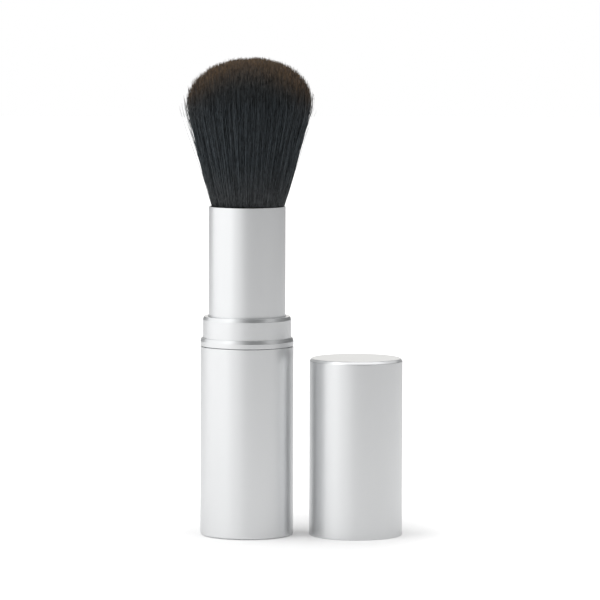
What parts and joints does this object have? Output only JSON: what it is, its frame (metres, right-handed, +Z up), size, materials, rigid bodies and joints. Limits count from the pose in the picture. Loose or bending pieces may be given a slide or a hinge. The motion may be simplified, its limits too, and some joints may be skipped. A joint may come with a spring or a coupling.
{
  "type": "face brush",
  "caption": "Twist-up face brush in a round metal case, wound out with its domed dark tuft, its cap standing beside it.",
  "frame": {"origin": "middle of the barrel's flat underside, on the surface the brush stands on", "axes": "+Z up along the barrel and the tuft; the cap stands mouth down at +X; -Y faces the picture's camera"},
  "size_m": [0.0613, 0.0348, 0.1347],
  "materials": {
    "satin_aluminium": "satin",
    "plated_steel": "satin",
    "grey_plastic": "satin",
    "white_plastic": "satin",
    "black_plastic": "satin",
    "amber_glue": "gloss",
    "charcoal_hair": "matte"
  },
  "bodies": {
    "barrel": {"barrel_shell": "satin_aluminium", "base_weight": "plated_steel", "base_insert": "grey_plastic", "guide_tube": "white_plastic"},
    "neck": {"spiral_sleeve": "grey_plastic", "neck_ring": "satin_aluminium", "neck_collar": "satin_aluminium", "neck_bush": "black_plastic"},
    "brush": {"carrier": "black_plastic", "ferrule_tube": "satin_aluminium", "glue_plug": "amber_glue", "bristles_1": "charcoal_hair", "bristles_2": "charcoal_hair", "bristles_3": "charcoal_hair", "bristles_4": "charcoal_hair"},
    "cap": {"cap_shell": "satin_aluminium", "cap_liner": "white_plastic"}
  },
  "joints": [
    {"name": "neck_twist", "type": "hinge", "parent": "barrel", "child": "neck", "pos_m": [0, 0, 0.0535], "axis": [0, 0, 1], "range_deg": [-720, 0]},
    {"name": "brush_slide", "type": "slide", "parent": "barrel", "child": "brush", "axis": [0, 0, 1], "range_m": [-0.042, 0], "deforming": ["bristles_1", "bristles_2", "bristles_3", "bristles_4"]},
    {"name": "cap_lift", "type": "slide", "parent": "barrel", "child": "cap", "axis": [0, 0, 1], "range_m": [0, 0.14]}
  ],
  "couplings": [
    {"joint": "brush_slide", "follows": "neck_twist", "m_per_rad": 0.0033423}
  ]
}
